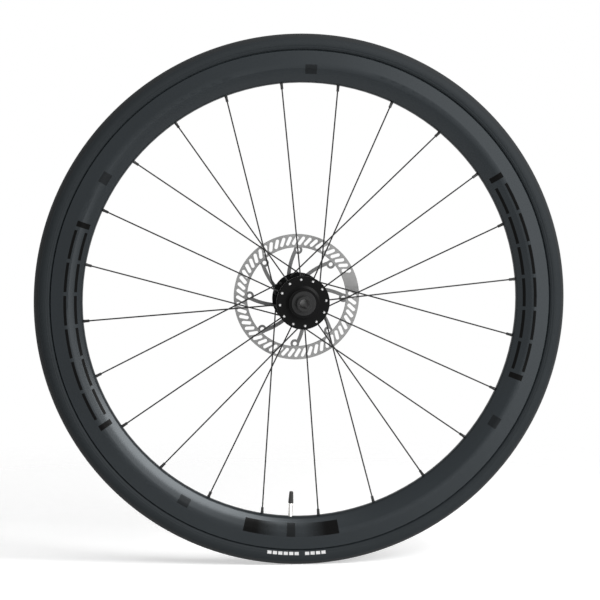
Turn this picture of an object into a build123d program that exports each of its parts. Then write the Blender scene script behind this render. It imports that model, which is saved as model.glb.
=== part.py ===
from build123d import *
from math import cos, hypot, radians, sin, sqrt, tan
import os

# Front road wheel for a disc brake, at rest with its valve at the bottom.
# Millimetres. Origin at the wheel's centre, +X forward, +Y to the rider's left (brake side), +Z up.
# An angle round the wheel is counted from the top towards the front, about +Y.

# Tyre, tube and rim
BEAD_SEAT_D = 622.0          # bead seat diameter of a 700C rim
TYRE_H = 25.5                # bead seat to tread crown
TYRE_W = 25.8                # widest section of the inflated tyre
TREAD_T = 2.8                # rubber at the crown
CASING_T = 1.5               # rubber at the sidewall
TYRE_SEAT_GAP = 0.4          # gap between sidewall and rim edge
TUBE_T = 0.7
TUBE_GAP = 0.3               # between tube and casing
RIM_DEPTH = 42.0             # rim edge to nose
RIM_EDGE_H = 5.5             # bead seat to rim edge
RIM_EDGE_W = 22.6            # outside width at the rim edge
RIM_RIDGE_W = 24.6           # widest, at the ridge along each side
RIM_RIDGE_DOWN = 18.5        # rim edge to ridge
RIM_RIDGE_ROUND = 30.0       # radius that softens the ridge
RIM_CHANNEL_W = 18.6         # inside width between the bead walls
RIM_NOSE_R = 7.0
RIM_NOSE_LEAN = 30.0         # lean of the sidewall where it leaves the nose, degrees
RIM_EDGE_BEVEL = 0.7
RIM_WALL_T = 1.0
SPOKE_BED_T = 1.6
TYRE_BED_T = 1.1
BEAD_SEAT_W = 3.8
WELL_DEPTH = 2.5             # drop from bead seat to the middle of the tyre bed
TAPE_T = 0.5
TAPE_GAP = 0.1
BEAD_FIT = 0.1               # clearance of the bead in the rim channel
BEAD_W = 3.6                 # bead width at its foot
BEAD_NECK_T = 2.6            # bead width where the sidewall flares out over the rim edge
FLARE_RISE = 1.2             # height of that flare
ACCESS_HOLE_D = 8.0          # holes in the tyre bed that let the nipples in

# Spokes and nipples
SPOKES_PER_SIDE = 12
CROSS_COUNT = 2              # crossings of each brake-side spoke; the other side is radial
SPOKE_D = 1.8
SPOKE_ELBOW_R = 2.0
SPOKE_HEAD_D = 3.8
SPOKE_HEAD_H = 1.2
SPOKE_HOLE_D = 2.4           # holes in the hub flanges
NIPPLE_L = 12.0
NIPPLE_HEAD_D = 5.8
NIPPLE_HEAD_H = 2.4
NIPPLE_SEAT_GAP = 0.8        # lift of the head over the curved spoke bed
NIPPLE_D = 3.9
NIPPLE_FLAT = 3.3            # across the flats of the wrench square
NIPPLE_SQUARE_L = 5.2
NIPPLE_FIT = 0.15            # clearance of the nipple in the rim
THREAD_FIT = 0.03            # clearance of a thread modelled as a plain pin

# Hub
OVER_LOCKNUT = 100.0         # end face of one end cap to that of the other
THRU_AXLE_BORE_D = 12.1
AXLE_D = 15.0
AXLE_SHOULDER_D = 17.5
FIT = 0.02                   # clearance of a close fit within one body
RIGHT_FLANGE_Y = -33.0
RIGHT_FLANGE_D = 67.5
RIGHT_HOLE_IN = 4.5          # flange edge to the circle of its spoke holes
LEFT_FLANGE_Y = 23.5
LEFT_FLANGE_D = 65.5
LEFT_HOLE_PCD = 59.0         # circle of its spoke holes, clear of the boss
FLANGE_T = 3.2
BARREL_D = 27.0
BARREL_BORE_D = 21.0
HOUSING_D = 37.0             # right bearing housing outside the flange
HOUSING_END = 41.0           # end face of the shell, from the wheel's centre plane, on both sides
BOSS_D = 54.0                # brake-side boss that carries the rotor
ROTOR_FACE_Y = 38.6
ROTOR_SPIGOT_D = 34.8
FLANGE_ROUND = 0.8
FLARE_L = 14.0               # length of the flare between barrel and flange
FLARE_D = 40.0               # diameter where the flare meets the flange

# Sealed bearings, two alike
BEARING_D = 28.0
BEARING_W = 7.0
BEARING_SET_IN = 0.2         # bearing face below the end of the shell
SEAT_SHOULDER_D = 25.0       # shell shoulder behind the outer race
BALL_COUNT = 11
BALL_D = 3.96
BALL_PITCH_D = 21.5
BALL_PLAY = 0.05             # ball to groove
RACE_LIP = 0.95              # height of a race shoulder above its groove
SEAL_T = 0.6
SEAL_INSET = 0.15
SEAL_PLAY = 0.2              # running gap of the seal lip at the inner race
CAGE_T = 1.4
CAGE_W = 4.8
CAGE_POCKET_GAP = 0.08

# End caps
CAP_D = 19.5
CAP_SHIELD_D = 31.0
CAP_SHIELD_T = 1.4
CAP_SHIELD_GAP = 0.6         # running gap between shield and shell
CAP_NOSE_D = 18.8            # nose that bears on the inner race
CAP_LAND = 4.0               # length of cap beyond the end of the axle tube
CAP_EDGE = 0.6

# Brake rotor
ROTOR_D = 160.0
ROTOR_T = 1.8
TRACK_W = 17.0
ROTOR_BORE_FIT = 0.1
ROTOR_RING_D = 53.0          # outside of the bolted ring
ARM_COUNT = 8
ARM_W = 4.6
ARM_SWEEP = 27.0             # turn of an arm from ring to track, degrees
ARM_PHASE = 2.0              # angle of the first arm where it meets the track
ARM_BOW = 3.0                # bow of an arm away from its chord
EYE_D = 5.2                  # hole where an arm meets the track
EYE_RIM = 2.9                # metal round that hole
EYE_SET_IN = 3.2             # hole centre inside the track's inner edge
SLOTS_PER_ARM = 7
SLOT_L = 12.4
SLOT_W = 4.4
SLOT_LEAN = 32.0
PLAIN_ANGLE = 76.0           # middle of the stretch of track that has no slots
PLAIN_SPAN = 15.0
BOLT_COUNT = 6
BOLT_PCD = 44.0
BOLT_D = 5.0
BOLT_FIT = 0.1
BOLT_GRIP = 8.5              # thread length inside the boss
BOLT_HEAD_D = 8.4
BOLT_HEAD_H = 2.6
BOLT_HOLE_SPARE = 1.5
SOCKET_D = 3.2
SOCKET_LOBE_D = 1.1
SOCKET_DEPTH = 1.6
BOSS_SCALLOP_D = 17.0        # scallops between the bolt lobes of the boss
BOSS_SCALLOP_DEPTH = 3.6

# Valve
VALVE_ANGLE = 182.6          # where the valve stands at rest
VALVE_D = 6.0
VALVE_HOLE_FIT = 0.3
VALVE_OUT = 22.5             # stem end inside the rim nose
VALVE_NECK_D = 5.2           # threaded neck that the cap screws on to
VALVE_NECK_L = 8.0
VALVE_FOOT_D = 8.0
VALVE_FOOT_T = 1.6
PIN_D = 1.8
PIN_OUT = 5.6                # pin beyond the stem end
LOCK_NUT_D = 4.2
LOCK_NUT_L = 3.4
LOCK_NUT_GAP = 0.8           # between stem end and nut
LOCK_NUT_SLOTS = 8           # knurl grooves
LOCK_NUT_SLOT_D = 0.5
VALVE_CAP_L = 15.2
VALVE_CAP_BASE_D = 6.8
VALVE_CAP_TIP_D = 5.0
VALVE_CAP_COVER = 6.6        # how far the cap reaches over the stem
VALVE_CAP_END_T = 1.1
VALVE_CAP_FIT = 0.15

# Sizes worked out from those above
BEAD_SEAT_R = BEAD_SEAT_D / 2
TYRE_R = BEAD_SEAT_R + TYRE_H
RIM_EDGE_R = BEAD_SEAT_R + RIM_EDGE_H
RIDGE_R = RIM_EDGE_R - RIM_RIDGE_DOWN
NOSE_R = RIM_EDGE_R - RIM_DEPTH
NOSE_CENTRE_R = NOSE_R + RIM_NOSE_R
BED_FLOOR_R = NOSE_R + SPOKE_BED_T
WELL_R = BEAD_SEAT_R - WELL_DEPTH
WELL_HALF_W = RIM_CHANNEL_W / 2 - BEAD_SEAT_W
TAPE_TOP_R = WELL_R + TAPE_GAP + TAPE_T
SPOKE_PITCH = 360.0 / SPOKES_PER_SIDE
CROSS_TURN = CROSS_COUNT * SPOKE_PITCH
RIGHT_HOLE_PCD = RIGHT_FLANGE_D - 2 * RIGHT_HOLE_IN
BEARING_OUT = HOUSING_END - BEARING_SET_IN
BEARING_IN = BEARING_OUT - BEARING_W
CAP_END = OVER_LOCKNUT / 2
AXLE_END = CAP_END - CAP_LAND
ROTOR_TRACK_R = ROTOR_D / 2 - TRACK_W

# The plane that profiles are drawn in: across is +Y along the axle, up is the radius at the top.
PROFILE = Plane(origin=(0, 0, 0), x_dir=(0, 1, 0), z_dir=(1, 0, 0))


def turned(*edges):
    """Turns a closed outline of (axial, radial) edges about the axle."""
    return revolve(PROFILE * make_face(Curve() + list(edges)), Axis.Y)


def turned_polygon(*points):
    """Turns a straight-sided outline of (axial, radial) points about the axle."""
    return turned(Polyline(*points, close=True))


def turned_box(y0, y1, r0, r1):
    """A plain ring between two axial and two radial limits."""
    return turned_polygon((y0, r0), (y1, r0), (y1, r1), (y0, r1))


def around(shape, angle):
    """Carries a shape made at the top of the wheel round to an angle."""
    return Rot(0, angle, 0) * shape


def at_wheel(angle, radius, y):
    """The point at an angle round the wheel, a radius and an axial place."""
    return Vector(radius * sin(radians(angle)), y, radius * cos(radians(angle)))


def mirrored_pair(points):
    """An outline's points, then their mirror images in the wheel's centre plane, the other way round."""
    return [*points, *[(-y, r) for y, r in reversed(points)]]


# Rim: a hollow deep section, with a round nose towards the hub, a soft ridge along each side
# and a channel for the tyre.

def nose_point(radius):
    """Where the nose arc of that radius, about the nose centre, hands over to the sidewall."""
    lean = radians(RIM_NOSE_LEAN)
    return (radius * cos(lean), NOSE_CENTRE_R - radius * sin(lean))


def flank_y(r, inset):
    """Half width of the bowed flank at a radius between nose and ridge, less an inset from its outside.

    The flank is the circle that leaves the nose at its lean and passes through the ridge.
    """
    lean = radians(RIM_NOSE_LEAN)
    start = nose_point(RIM_NOSE_R)
    run_y = RIM_RIDGE_W / 2 - start[0]
    run_r = RIDGE_R - start[1]
    bow_r = (run_y**2 + run_r**2) / (2 * (run_r * sin(lean) - run_y * cos(lean)))
    centre = (start[0] - bow_r * cos(lean), start[1] + bow_r * sin(lean))
    return centre[0] + sqrt((bow_r - inset)**2 - (r - centre[1])**2)


def wall_y(r):
    """Half width of the flat wall at a radius between ridge and rim edge."""
    share = (r - RIDGE_R) / (RIM_RIDGE_DOWN - RIM_EDGE_BEVEL)
    return (RIM_RIDGE_W + share * (RIM_EDGE_W - RIM_RIDGE_W)) / 2


def rim_flank(sign, r0, inset):
    """One flank arc from a radius near the nose to the ridge."""
    return ThreePointArc(*[(sign * flank_y(r, inset), r) for r in (r0, (r0 + RIDGE_R) / 2, RIDGE_R)])


def rim_section():
    """Outside of the rim: nose, two bowed flanks, two flat walls, bevelled edges and the tyre channel."""
    edge = RIM_EDGE_W / 2
    channel = RIM_CHANNEL_W / 2
    nose = nose_point(RIM_NOSE_R)
    channel_points = [
        (RIM_RIDGE_W / 2, RIDGE_R),
        (edge, RIM_EDGE_R - RIM_EDGE_BEVEL),
        (edge - RIM_EDGE_BEVEL, RIM_EDGE_R),
        (channel, RIM_EDGE_R),
        (channel, BEAD_SEAT_R),
        (WELL_HALF_W, BEAD_SEAT_R),
        (WELL_HALF_W - WELL_DEPTH / 2, WELL_R),
    ]
    return [
        ThreePointArc((-nose[0], nose[1]), (0, NOSE_R), nose),
        rim_flank(1, nose[1], 0),
        Polyline(*mirrored_pair(channel_points)),
        rim_flank(-1, nose[1], 0),
    ]


def rim_cavity():
    """The hollow inside the section, between spoke bed and tyre bed."""
    bed = nose_point(RIM_NOSE_R - SPOKE_BED_T)
    wall = nose_point(RIM_NOSE_R - RIM_WALL_T)
    roof_r = WELL_R - TYRE_BED_T
    roof_points = [(flank_y(RIDGE_R, RIM_WALL_T), RIDGE_R), (wall_y(roof_r) - RIM_WALL_T, roof_r)]
    return [
        ThreePointArc((-bed[0], bed[1]), (0, BED_FLOOR_R), bed),
        Line(bed, wall),
        rim_flank(1, wall[1], RIM_WALL_T),
        Polyline(*mirrored_pair(roof_points)),
        rim_flank(-1, wall[1], RIM_WALL_T),
        Line((-wall[0], wall[1]), (-bed[0], bed[1])),
    ]


def make_rim(spoke_lines):
    outside = make_face(Curve() + rim_section())
    by_width = outside.vertices().sort_by(Axis.X)
    softened = fillet([by_width[0], by_width[-1]], RIM_RIDGE_ROUND)
    rim = revolve(PROFILE * softened, Axis.Y) - turned(*rim_cavity())
    drills = []
    for start, direction in spoke_lines:
        seat = start + direction * bed_distance(start, direction)
        bed = Plane(origin=seat, z_dir=direction)
        reach = SPOKE_BED_T * 2
        drills.append(bed * Cylinder(NIPPLE_D / 2 + NIPPLE_FIT, 2 * reach))
        top = Vector(seat.X, 0, seat.Z).normalized()
        bed_hole = Plane(origin=top * WELL_R, z_dir=top)
        drills.append(bed_hole * Cylinder(ACCESS_HOLE_D / 2, 2 * (TYRE_BED_T + WELL_DEPTH)))
    valve_run = RIM_DEPTH + 2 * SPOKE_BED_T
    upward = (Align.CENTER, Align.CENTER, Align.MIN)
    valve_hole = Cylinder(VALVE_D / 2 + VALVE_HOLE_FIT, valve_run, align=upward)
    drills.append(around(Pos(0, 0, NOSE_R - SPOKE_BED_T) * valve_hole, VALVE_ANGLE))
    return rim - drills


# Tyre: one moulding, with a thicker tread and two beads that sit in the rim channel.

def casing_points():
    """Corners down one side of the tyre's section: outside first, round the bead, then up inside."""
    outer_r = TYRE_W / 2
    outer_c = TYRE_R - outer_r
    inner_r = outer_r - CASING_T
    inner_c = TYRE_R - TREAD_T - inner_r
    heel = RIM_CHANNEL_W / 2 - BEAD_FIT
    neck = RIM_EDGE_R + TYRE_SEAT_GAP
    seat = BEAD_SEAT_R + BEAD_FIT
    side = (sqrt(outer_r**2 - (outer_c - neck - FLARE_RISE)**2), neck + FLARE_RISE)
    flare = (side[0] - heel, side[1] - neck)
    along = (flare[0] / hypot(*flare), flare[1] / hypot(*flare))
    base = (heel - CASING_T * along[1], neck + CASING_T * along[0])
    inner_neck_run = (heel - BEAD_NECK_T - base[0]) / along[0]
    inner_neck = (heel - BEAD_NECK_T, base[1] + inner_neck_run * along[1])
    half_b = base[0] * along[0] + (base[1] - inner_c) * along[1]
    reach = sqrt(half_b**2 - base[0]**2 - (base[1] - inner_c)**2 + inner_r**2) - half_b
    arc_end = (base[0] + reach * along[0], base[1] + reach * along[1])
    return [side, (heel, neck), (heel, seat), (heel - BEAD_W, seat), inner_neck, arc_end]


def make_tyre():
    right = casing_points()
    left = [(-y, r) for y, r in reversed(right)]
    return turned(
        ThreePointArc(left[-1], (0, TYRE_R), right[0]),
        Polyline(*right),
        ThreePointArc(right[-1], (0, TYRE_R - TREAD_T), left[0]),
        Polyline(*left),
    )


def make_inner_tube():
    """A closed tube that follows the space inside the tyre."""
    right = casing_points()[3:]
    left = [(-y, r) for y, r in reversed(right)]
    crown = ThreePointArc(right[-1], (0, TYRE_R - TREAD_T), left[0])
    space = make_face(Curve() + [Polyline(*right), crown, Polyline(*left), Line(left[-1], right[0])])
    wall = offset(space, -TUBE_GAP) - offset(space, -TUBE_GAP - TUBE_T)
    return revolve(PROFILE * wall, Axis.Y)


def make_rim_tape():
    half = WELL_HALF_W - WELL_DEPTH / 2 - TAPE_GAP
    tape = turned_box(-half, half, WELL_R + TAPE_GAP, WELL_R + TAPE_GAP + TAPE_T)
    hole = Pos(0, 0, WELL_R) * Cylinder(VALVE_D / 2 + VALVE_HOLE_FIT, 4 * TAPE_T + 4 * TAPE_GAP)
    return tape - around(hole, VALVE_ANGLE)


# Spokes: each has a head on one face of its flange, an elbow on the other, and a straight run to its nipple.

def flange_hole(side, angle):
    """Centre of a flange hole: side is -1 on the right and 1 on the left."""
    y = LEFT_FLANGE_Y if side > 0 else RIGHT_FLANGE_Y
    pcd = LEFT_HOLE_PCD if side > 0 else RIGHT_HOLE_PCD
    return at_wheel(angle, pcd / 2, y)


def elbow_point(side, hole_angle, elbow_dir):
    """Corner of a spoke's centre line, so far from the flange that the bend starts at its face."""
    hole = flange_hole(side, hole_angle)
    rim_point = Vector(0, 0, BED_FLOOR_R)
    stand_off = SPOKE_ELBOW_R
    for _ in range(6):
        corner = hole + Vector(0, elbow_dir * (FLANGE_T / 2 + stand_off), 0)
        turn = radians(Vector(0, elbow_dir, 0).get_angle(rim_point - corner))
        stand_off = SPOKE_ELBOW_R * tan(turn / 2)
    return corner


def bed_distance(start, direction):
    """How far along a spoke's line the floor of the rim's cavity is met."""
    flat = Vector(direction.X, 0, direction.Z)
    from_axle = Vector(start.X, 0, start.Z)
    a = flat.dot(flat)
    b = 2 * from_axle.dot(flat)
    c = from_axle.dot(from_axle) - BED_FLOOR_R**2
    return (-b + sqrt(b * b - 4 * a * c)) / (2 * a)


def make_spoke(side, hole_angle, elbow_dir):
    """A spoke whose rim hole is at the top of the wheel."""
    hole = flange_hole(side, hole_angle)
    head_face = hole - Vector(0, elbow_dir * FLANGE_T / 2, 0)
    corner = elbow_point(side, hole_angle, elbow_dir)
    direction = (Vector(0, 0, BED_FLOOR_R) - corner).normalized()
    tip = corner + direction * (bed_distance(corner, direction) + NIPPLE_HEAD_H / 2)
    path = FilletPolyline(head_face, corner, tip, radius=SPOKE_ELBOW_R)
    section = Plane(origin=head_face, z_dir=(0, elbow_dir, 0)) * Circle(SPOKE_D / 2)
    head = Cone(SPOKE_HEAD_D / 2, SPOKE_D / 2, SPOKE_HEAD_H, align=(Align.CENTER, Align.CENTER, Align.MIN))
    return sweep(section, path) + Plane(origin=head_face, z_dir=(0, -elbow_dir, 0)) * head


def spoke_line(side, hole_angle, elbow_dir):
    """Start and direction of a spoke's straight run, for the spoke at the top of the wheel."""
    corner = elbow_point(side, hole_angle, elbow_dir)
    return corner, (Vector(0, 0, BED_FLOOR_R) - corner).normalized()


def make_nipple(side, hole_angle, elbow_dir):
    """The nipple of the spoke at the top of the wheel: head inside the rim, wrench square outside."""
    start, direction = spoke_line(side, hole_angle, elbow_dir)
    seat = start + direction * bed_distance(start, direction)
    shank_l = NIPPLE_L - NIPPLE_HEAD_H
    align = (Align.CENTER, Align.CENTER, Align.MIN)
    shank = Cylinder(NIPPLE_D / 2, shank_l, align=align)
    square = Box(NIPPLE_FLAT, NIPPLE_FLAT, NIPPLE_SQUARE_L, align=align)
    shank -= Cylinder(NIPPLE_D / 2, NIPPLE_SQUARE_L, align=align) - square
    cone = Pos(0, 0, shank_l) * Cone(NIPPLE_D / 2, NIPPLE_HEAD_D / 2, NIPPLE_HEAD_H / 2, align=align)
    crown_l = NIPPLE_HEAD_H / 2
    crown = Pos(0, 0, NIPPLE_L - crown_l) * Cylinder(NIPPLE_HEAD_D / 2, crown_l, align=align)
    bore = Cylinder(SPOKE_D / 2 + THREAD_FIT, NIPPLE_L, align=align)
    nipple = Pos(0, 0, NIPPLE_SEAT_GAP - shank_l) * (shank + cone + crown - bore)
    return Plane(origin=seat, z_dir=direction) * nipple


# Hub shell: one turned and drilled piece, with two flanges, two bearing seats and a lobed rotor boss.

def make_hub_shell():
    barrel = BARREL_D / 2
    flare = FLARE_D / 2
    half = FLANGE_T / 2
    right_in, right_out = RIGHT_FLANGE_Y + half, RIGHT_FLANGE_Y - half
    left_in, left_out = LEFT_FLANGE_Y - half, LEFT_FLANGE_Y + half
    right_r, left_r = RIGHT_FLANGE_D / 2, LEFT_FLANGE_D / 2
    spigot_r = ROTOR_SPIGOT_D / 2
    seat_r = BEARING_D / 2 + FIT
    shoulder_r = SEAT_SHOULDER_D / 2
    bore_r = BARREL_BORE_D / 2
    outside = [
        Line((-HOUSING_END, seat_r), (-HOUSING_END, HOUSING_D / 2)),
        Line((-HOUSING_END, HOUSING_D / 2), (right_out - FLANGE_T / 2, HOUSING_D / 2)),
        Line((right_out - FLANGE_T / 2, HOUSING_D / 2), (right_out, HOUSING_D / 2 + FLANGE_T)),
        Line((right_out, HOUSING_D / 2 + FLANGE_T), (right_out, right_r - FLANGE_ROUND)),
        Line((right_out, right_r - FLANGE_ROUND), (right_out + FLANGE_ROUND, right_r)),
        Line((right_out + FLANGE_ROUND, right_r), (right_in - FLANGE_ROUND, right_r)),
        Line((right_in - FLANGE_ROUND, right_r), (right_in, right_r - FLANGE_ROUND)),
        Line((right_in, right_r - FLANGE_ROUND), (right_in, flare)),
        TangentArc((right_in + FLARE_L, barrel), (right_in, flare), tangent=(-1, 0)),
        Line((right_in + FLARE_L, barrel), (left_in - FLARE_L, barrel)),
        TangentArc((left_in - FLARE_L, barrel), (left_in, flare), tangent=(1, 0)),
        Line((left_in, flare), (left_in, left_r - FLANGE_ROUND)),
        Line((left_in, left_r - FLANGE_ROUND), (left_in + FLANGE_ROUND, left_r)),
        Line((left_in + FLANGE_ROUND, left_r), (left_out - FLANGE_ROUND, left_r)),
        Line((left_out - FLANGE_ROUND, left_r), (left_out, left_r - FLANGE_ROUND)),
        Line((left_out, left_r - FLANGE_ROUND), (left_out, BOSS_D / 2)),
        Polyline((left_out, BOSS_D / 2), (ROTOR_FACE_Y, BOSS_D / 2), (ROTOR_FACE_Y, spigot_r)),
        Polyline((ROTOR_FACE_Y, spigot_r), (HOUSING_END, spigot_r), (HOUSING_END, seat_r)),
    ]
    inside = Polyline(
        (HOUSING_END, seat_r),
        (BEARING_IN, seat_r),
        (BEARING_IN, shoulder_r),
        (BEARING_IN - FLANGE_T, bore_r),
        (FLANGE_T - BEARING_IN, bore_r),
        (-BEARING_IN, shoulder_r),
        (-BEARING_IN, seat_r),
        (-HOUSING_END, seat_r),
    )
    shell = turned(*outside, inside)
    return shell - hub_drillings()


def hub_drillings():
    """Spoke holes of both flanges, the rotor's bolt holes, and the scallops between the bolt lobes."""
    across = Rot(-90, 0, 0)
    spoke_hole = across * Cylinder(SPOKE_HOLE_D / 2, 2 * FLANGE_T)
    cuts = []
    for n in range(SPOKES_PER_SIDE):
        for side, phase in ((-1, RIGHT_PHASE), (1, LEFT_PHASE)):
            place = flange_hole(side, phase + n * SPOKE_PITCH)
            cuts.append(Pos(*place) * spoke_hole)
    depth = BOLT_GRIP + BOLT_HOLE_SPARE
    bolt_hole = across * Cylinder(BOLT_D / 2 + BOLT_FIT / 2, 2 * depth)
    boss_l = ROTOR_FACE_Y - LEFT_FLANGE_Y - FLANGE_T / 2
    inward = (Align.CENTER, Align.CENTER, Align.MAX)
    scallop = across * Cylinder(BOSS_SCALLOP_D / 2, boss_l - FLANGE_ROUND, align=inward)
    scallop_r = BOSS_D / 2 + BOSS_SCALLOP_D / 2 - BOSS_SCALLOP_DEPTH
    for n in range(BOLT_COUNT):
        angle = n * 360 / BOLT_COUNT
        cuts.append(Pos(*at_wheel(angle, BOLT_PCD / 2, ROTOR_FACE_Y)) * bolt_hole)
        between = angle + 180 / BOLT_COUNT
        cuts.append(Pos(*at_wheel(between, scallop_r, ROTOR_FACE_Y)) * scallop)
    return cuts


# Bearings: inner and outer races with a ball groove, balls in a cage, and two seals held by the outer race.

def bearing_centre(side):
    return side * (BEARING_OUT + BEARING_IN) / 2


def groove(radius):
    """The ring that the ball sweeps, with its running play, at the middle of a bearing."""
    return revolve(PROFILE * (Pos(0, radius) * Circle(BALL_D / 2 + BALL_PLAY)), Axis.Y)


def make_inner_race(side):
    half = BEARING_W / 2
    bottom = BALL_PITCH_D / 2 - BALL_D / 2 - BALL_PLAY
    race = turned_box(-half, half, AXLE_D / 2 + FIT, bottom + RACE_LIP)
    return Pos(0, bearing_centre(side), 0) * (race - groove(BALL_PITCH_D / 2))


def make_outer_race(side):
    half = BEARING_W / 2
    bottom = BALL_PITCH_D / 2 + BALL_D / 2 + BALL_PLAY
    lip = bottom - RACE_LIP
    race = turned_box(-half, half, lip, BEARING_D / 2)
    race -= groove(BALL_PITCH_D / 2)
    for end in (-1, 1):
        seat_in, seat_out = sorted((end * half, end * (half - SEAL_INSET - SEAL_T)))
        race -= turned_box(seat_in, seat_out, lip - RACE_LIP, lip + RACE_LIP / 2)
    return Pos(0, bearing_centre(side), 0) * race


def make_seals(side):
    half = BEARING_W / 2
    inner_lip = BALL_PITCH_D / 2 - BALL_D / 2 - BALL_PLAY + RACE_LIP
    outer_lip = BALL_PITCH_D / 2 + BALL_D / 2 + BALL_PLAY - RACE_LIP
    seals = []
    for end in (-1, 1):
        y0, y1 = sorted((end * (half - SEAL_INSET), end * (half - SEAL_INSET - SEAL_T)))
        ring = turned_box(y0, y1, inner_lip + SEAL_PLAY, outer_lip + RACE_LIP / 2 - FIT)
        seals.append(Pos(0, bearing_centre(side), 0) * ring)
    return seals


def ball_places():
    """Ball centres of both bearings."""
    step = 360 / BALL_COUNT
    angles = [n * step for n in range(BALL_COUNT)]
    return [at_wheel(angle, BALL_PITCH_D / 2, bearing_centre(side)) for side in (-1, 1) for angle in angles]


def make_balls():
    return [Pos(*place) * Sphere(BALL_D / 2) for place in ball_places()]


def make_cages():
    pocket = Cylinder(BALL_D / 2 + CAGE_POCKET_GAP, 2 * CAGE_T)
    middle = BALL_PITCH_D / 2
    step = 360 / BALL_COUNT
    cage = turned_box(-CAGE_W / 2, CAGE_W / 2, middle - CAGE_T / 2, middle + CAGE_T / 2)
    cage -= [around(Pos(0, 0, middle) * pocket, n * step) for n in range(BALL_COUNT)]
    return [Pos(0, bearing_centre(side), 0) * cage for side in (-1, 1)]


# Axle tube and the end caps that slip over its ends.

def make_axle():
    r = AXLE_D / 2
    shoulder = AXLE_SHOULDER_D / 2
    bore = THRU_AXLE_BORE_D / 2
    seat = BEARING_IN - FIT
    return turned_polygon(
        (-AXLE_END, bore),
        (AXLE_END, bore),
        (AXLE_END, r),
        (seat, r),
        (seat, shoulder),
        (-seat, shoulder),
        (-seat, r),
        (-AXLE_END, r),
    )


def make_end_cap(side):
    """Nose on the inner race, shield over the seal, then the barrel, whose end face is clamped."""
    nose = BEARING_OUT + FIT
    shield = HOUSING_END + CAP_SHIELD_GAP
    barrel = shield + CAP_SHIELD_T
    outline = [
        (nose, AXLE_D / 2 + FIT),
        (nose, CAP_NOSE_D / 2),
        (shield, CAP_NOSE_D / 2),
        (shield, CAP_SHIELD_D / 2),
        (barrel - CAP_EDGE, CAP_SHIELD_D / 2),
        (barrel, CAP_SHIELD_D / 2 - CAP_EDGE),
        (barrel, CAP_D / 2),
        (CAP_END - CAP_EDGE, CAP_D / 2),
        (CAP_END, CAP_D / 2 - CAP_EDGE),
        (CAP_END, THRU_AXLE_BORE_D / 2),
        (AXLE_END + FIT, THRU_AXLE_BORE_D / 2),
        (AXLE_END + FIT, AXLE_D / 2 + FIT),
    ]
    return turned_polygon(*[(side * y, r) for y, r in outline])


# Brake rotor: cut from sheet, with a slotted track on swept arms, and bolted to the hub's boss.

def rotor_point(angle, radius):
    """A point of the rotor's drawing, at an angle from the top towards the front."""
    return (radius * sin(radians(angle)), radius * cos(radians(angle)))


def rotor_arm(angle):
    """A swept arm from the bolted ring to the track, with the eye where it meets the track."""
    start = Vector(*rotor_point(angle - ARM_SWEEP, ROTOR_RING_D / 2 - ARM_W / 2))
    end = Vector(*rotor_point(angle, ROTOR_TRACK_R + ARM_W / 2))
    chord = end - start
    bow = Vector(-chord.Y, chord.X).normalized() * ARM_BOW
    arm = SlotArc(ThreePointArc(start, (start + end) / 2 + bow, end), ARM_W)
    eye = Pos(*rotor_point(angle, ROTOR_TRACK_R - EYE_SET_IN)) * Circle(EYE_D / 2 + EYE_RIM)
    return arm + eye


def make_rotor():
    sheet = Circle(ROTOR_D / 2) - Circle(ROTOR_TRACK_R)
    sheet += Circle(ROTOR_RING_D / 2)
    angles = [ARM_PHASE + n * 360 / ARM_COUNT for n in range(ARM_COUNT)]
    for angle in angles:
        sheet += rotor_arm(angle)
    cuts = [Circle(ROTOR_SPIGOT_D / 2 + ROTOR_BORE_FIT)]
    slot_r = ROTOR_D / 2 - TRACK_W / 2
    slot_pitch = 360 / (ARM_COUNT * SLOTS_PER_ARM)
    for angle in angles:
        cuts.append(Pos(*rotor_point(angle, ROTOR_TRACK_R - EYE_SET_IN)) * Circle(EYE_D / 2))
        places = [angle + (n + 0.5) * slot_pitch for n in range(SLOTS_PER_ARM)]
        for place in places:
            if abs(place - PLAIN_ANGLE) > PLAIN_SPAN / 2:
                slot = Rot(0, 0, 90 - place - SLOT_LEAN) * SlotOverall(SLOT_L, SLOT_W)
                cuts.append(Pos(*rotor_point(place, slot_r)) * slot)
    for n in range(BOLT_COUNT):
        cuts.append(Pos(*rotor_point(n * 360 / BOLT_COUNT, BOLT_PCD / 2)) * Circle(BOLT_D / 2 + BOLT_FIT))
    plane = Plane(origin=(0, ROTOR_FACE_Y, 0), x_dir=(1, 0, 0), z_dir=(0, -1, 0))
    return extrude(plane * (sheet - cuts), -ROTOR_T)


def make_rotor_bolts():
    head_y = ROTOR_FACE_Y + ROTOR_T
    outward = Plane(origin=(0, head_y, 0), x_dir=(1, 0, 0), z_dir=(0, 1, 0))
    shank_align = (Align.CENTER, Align.CENTER, Align.MAX)
    head_align = (Align.CENTER, Align.CENTER, Align.MIN)
    shank = Cylinder(BOLT_D / 2 - BOLT_FIT / 2, ROTOR_T + BOLT_GRIP, align=shank_align)
    head = Cone(BOLT_HEAD_D / 2, SOCKET_D, BOLT_HEAD_H, align=head_align)
    socket = Circle(SOCKET_D / 2) + PolarLocations(SOCKET_D / 2, 6) * Circle(SOCKET_LOBE_D / 2)
    recess = Pos(0, 0, BOLT_HEAD_H - SOCKET_DEPTH) * extrude(socket, SOCKET_DEPTH)
    bolt = outward * (shank + head - recess)
    bolts = []
    for n in range(BOLT_COUNT):
        place = at_wheel(n * 360 / BOLT_COUNT, BOLT_PCD / 2, 0)
        bolts.append(Pos(*place) * bolt)
    return bolts


# Valve: a slender stem bonded to the tube, with a locking nut on its pin and a screw cap over both.
# Each piece is made at the top of the wheel, where its height is its radius from the axle.

STEM_END_R = NOSE_R - VALVE_OUT


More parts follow.
